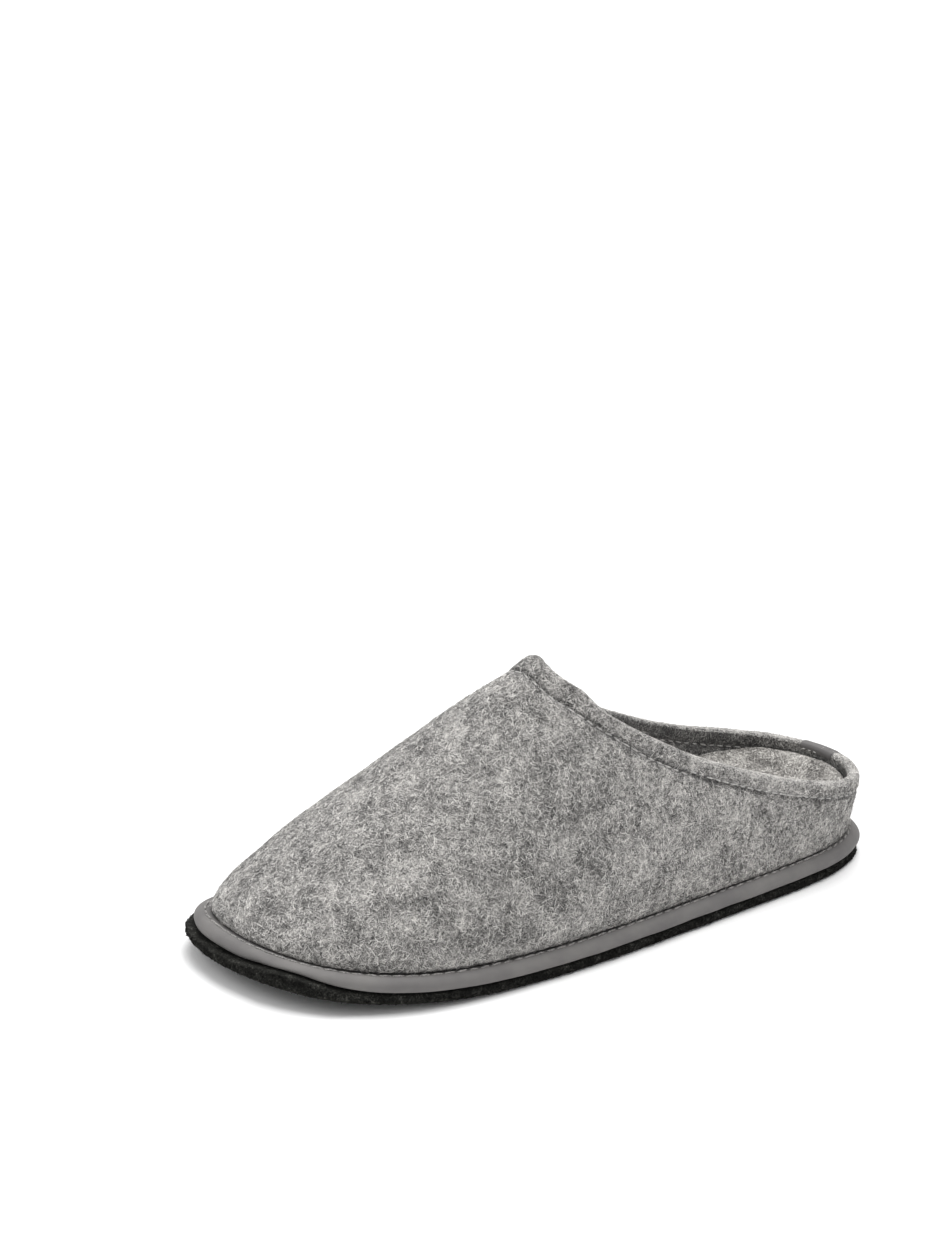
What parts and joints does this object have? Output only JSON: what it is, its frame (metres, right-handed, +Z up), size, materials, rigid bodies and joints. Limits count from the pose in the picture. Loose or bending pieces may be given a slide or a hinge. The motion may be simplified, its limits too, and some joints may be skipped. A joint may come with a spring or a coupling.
{
  "type": "house slipper",
  "caption": "Closed-toe felt clog slipper with a low back, a cupped footbed, a wrapped platform edge and a thin flat outsole; left foot.",
  "frame": {"origin": "on the floor, under the middle of the slipper's bounding box", "axes": "+Z up, -Y towards the toe, +X towards the outer side of the left foot"},
  "size_m": [0.104, 0.2784, 0.0979],
  "materials": {
    "outsole_rubber": "matte black sheet with a rough cut edge",
    "wrap_cover": "smooth dull grey imitation leather",
    "grey_felt": "mottled grey wool felt, matt and hairy",
    "warm_felt": "warm light grey wool felt, matt"
  },
  "bodies": {
    "root": {"outsole": "outsole_rubber", "wrapped_midsole": "wrap_cover", "upper": "grey_felt", "footbed": "warm_felt", "heel_strip": "wrap_cover"}
  },
  "joints": []
}
